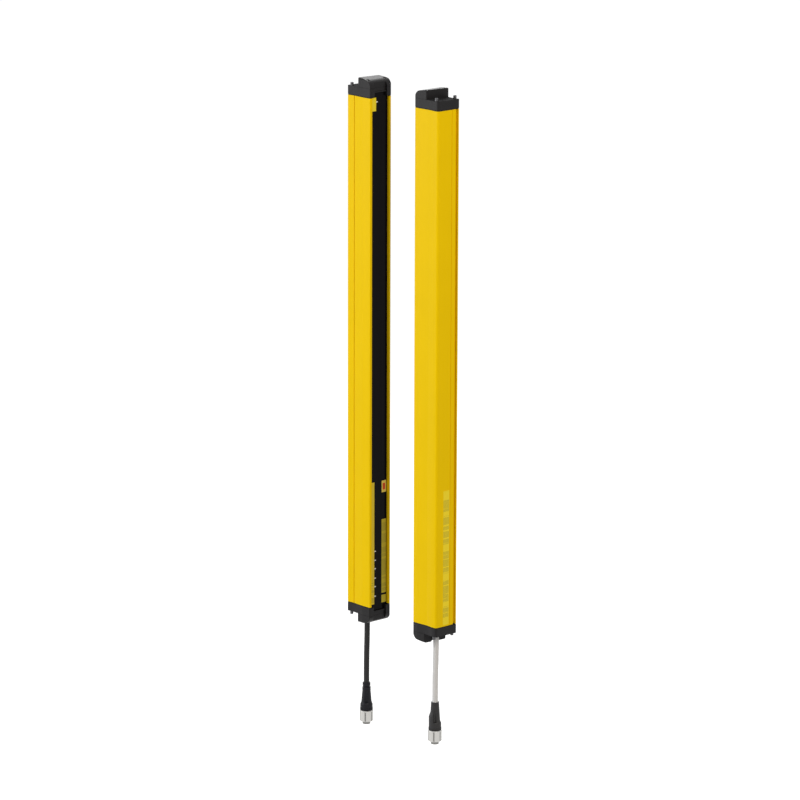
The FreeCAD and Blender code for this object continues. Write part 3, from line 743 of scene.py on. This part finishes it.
class LIGHTCURTAIN_OT_nuts(bpy.types.Operator):
    """Make the coupling nuts with their inner threads"""

    bl_idname = "lightcurtain.nuts"
    bl_label = "Coupling nuts"

    def execute(self, context):
        colours = context.scene.lightcurtain_finish
        sizes = context.scene.lightcurtain_detail
        for bar in bars:
            nut = softened(bar + "_coupling_nut", sizes.metal_edge)
            dressed(bar, "coupling_nut", "plug_nut", nut, colours)
            self.add_thread(bar, sizes, colours)
        return {"FINISHED"}

    def add_thread(self, bar, sizes, colours):
        """Helical ridge inside the nut, below its sealing ring."""
        node = bar + "_coupling_nut"
        low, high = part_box(node)
        ring_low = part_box(bar + "_sealing_ring")[0]
        middle = (low + high) / 2
        pitch = sizes.thread_pitch
        start = low.z + pitch
        turns = int((ring_low.z - start) / pitch) - 1
        if turns < 1:
            raise ValueError("The thread's pitch leaves no room for a turn in " + node)
        form = bmesh.new()
        ridge = thread_base * pitch
        section = [(thread_root, 0.0), (thread_root - sizes.thread_depth, ridge / 2),
                   (thread_root, ridge)]
        corners = [form.verts.new((radius, 0.0, height)) for radius, height in section]
        edges = [form.edges.new((corners[i], corners[(i + 1) % 3])) for i in range(3)]
        bmesh.ops.spin(form, geom=corners + edges, cent=(0, 0, 0), axis=(0, 0, 1),
                       dvec=(0, 0, pitch / thread_steps), angle=2 * math.pi * turns,
                       steps=turns * thread_steps, use_merge=False)
        bmesh.ops.holes_fill(form, edges=[edge for edge in form.edges if edge.is_boundary])
        bmesh.ops.recalc_face_normals(form, faces=form.faces)
        bmesh.ops.translate(form, vec=(middle.x, middle.y, start), verts=form.verts)
        new_piece(bar + "_nut_thread", mesh_of(form, "Nut thread"),
                  node_finishes(colours, bar)["coupling_nut"], body_of[node])


class LIGHTCURTAIN_OT_labels(bpy.types.Operator):
    """Make the thin labels and marks on the receiver's window and the emitter's back"""

    bl_idname = "lightcurtain.labels"
    bl_label = "Labels"

    def execute(self, context):
        colours = context.scene.lightcurtain_finish
        foil = context.scene.lightcurtain_detail.foil
        faces = {"receiver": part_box("receiver_window")[1].x,
                 "emitter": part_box("emitter_housing")[1].x}
        finishes = {name: foil_finish(name.capitalize() + " foil", getattr(colours, name),
                                      colours.ink, pitch, rows)
                    for name, (pitch, rows) in foil_prints.items()}
        for name, (bar, layer, across, heights, print_name) in label_places.items():
            under = faces[bar] + layer * foil
            self.add_label(name, (under, under + foil), across, heights, finishes[print_name])
        for name, (across, heights) in arrow_places.items():
            self.add_arrows(name, faces["receiver"], foil, across, heights, finishes["mark"])
        return {"FINISHED"}

    def add_label(self, name, depths, across, heights, material):
        """Thin plate between two depths."""
        low, high = [Vector(corner) for corner in zip(depths, across, heights)]
        scale = Matrix.Diagonal((*(high - low), 1.0))
        form = bmesh.new()
        bmesh.ops.create_cube(form, size=1.0,
                              matrix=Matrix.Translation((low + high) / 2) @ scale)
        new_piece(name, mesh_of(form, name), material, "bars")

    def add_arrows(self, name, face, foil, across, heights, material):
        """Triangles that point across the window towards the beams."""
        # A triangle of radius 1 is 1.5 long and the square root of 3 wide
        scale = Matrix.Diagonal((arrow_width / math.sqrt(3), arrow_length / 1.5, foil, 1.0))
        turn = Matrix.Rotation(math.pi / 2, 4, "Y")
        form = bmesh.new()
        for height in heights:
            place = Matrix.Translation((face + foil / 2, across, height))
            bmesh.ops.create_cone(form, cap_ends=True, segments=3, radius1=1.0, radius2=1.0,
                                  depth=1.0, matrix=place @ turn @ scale)
        new_piece(name, mesh_of(form, name), material, "bars")


class LIGHTCURTAIN_OT_leads(bpy.types.Operator):
    """Make the two leads that hang from the bars to their plugs"""

    bl_idname = "lightcurtain.leads"
    bl_label = "Leads"

    def execute(self, context):
        colours = context.scene.lightcurtain_finish
        finishes = {
            "receiver": sheath_finish("Black sheath", colours.receiver_lead),
            "emitter": sheath_finish("Grey sheath", colours.emitter_lead),
        }
        for bar in bars:
            points = cord_points[bar]
            curve = bpy.data.curves.new(bar + "_lead", "CURVE")
            curve.dimensions = "3D"
            spline = curve.splines.new("NURBS")
            spline.points.add(len(points) - 1)
            for point, place in zip(spline.points, points):
                point.co = (*place, 1.0)
            spline.order_u = 3
            spline.use_endpoint_u = True
            spline.resolution_u = 16
            curve.bevel_depth = cord_diameter / 2
            curve.bevel_resolution = 7
            curve.use_fill_caps = True
            node = bar + "_cable"
            lead = new_piece(bar + "_lead", curve, finishes[bar], body_of[node])
            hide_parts(node)
        return {"FINISHED"}


class LIGHTCURTAIN_PT_panel(bpy.types.Panel):
    """Lists the steps in the 3D view's sidebar."""

    bl_label = "Light curtain"
    bl_idname = "LIGHTCURTAIN_PT_panel"
    bl_space_type = "VIEW_3D"
    bl_region_type = "UI"
    bl_category = "Light curtain"

    def draw(self, context):
        layout = self.layout
        for step in steps:
            layout.operator(step.bl_idname)
        for group in groups:
            box = layout.box()
            settings = getattr(context.scene, group)
            for name in settings.__annotations__:
                box.prop(settings, name)


groups = {
    "lightcurtain_stage": LIGHTCURTAIN_PG_stage,
    "lightcurtain_finish": LIGHTCURTAIN_PG_finish,
    "lightcurtain_detail": LIGHTCURTAIN_PG_detail,
}
steps = (
    LIGHTCURTAIN_OT_stage,
    LIGHTCURTAIN_OT_finishes,
    LIGHTCURTAIN_OT_caps,
    LIGHTCURTAIN_OT_plugs,
    LIGHTCURTAIN_OT_nuts,
    LIGHTCURTAIN_OT_labels,
    LIGHTCURTAIN_OT_leads,
)


def register():
    """Register the settings, the steps and the panel."""
    for name, group in groups.items():
        bpy.utils.register_class(group)
        setattr(bpy.types.Scene, name, PointerProperty(type=group))
    for step in steps:
        bpy.utils.register_class(step)
    bpy.utils.register_class(LIGHTCURTAIN_PT_panel)


def unregister():
    """Take away what register added."""
    bpy.utils.unregister_class(LIGHTCURTAIN_PT_panel)
    for step in reversed(steps):
        bpy.utils.unregister_class(step)
    for name, group in groups.items():
        delattr(bpy.types.Scene, name)
        bpy.utils.unregister_class(group)


def main():
    register()
    bpy.ops.lightcurtain.stage()
    bpy.ops.lightcurtain.finishes()
    bpy.ops.lightcurtain.caps()
    bpy.ops.lightcurtain.plugs()
    bpy.ops.lightcurtain.nuts()
    bpy.ops.lightcurtain.labels()
    bpy.ops.lightcurtain.leads()


if __name__ == "__main__":
    main()
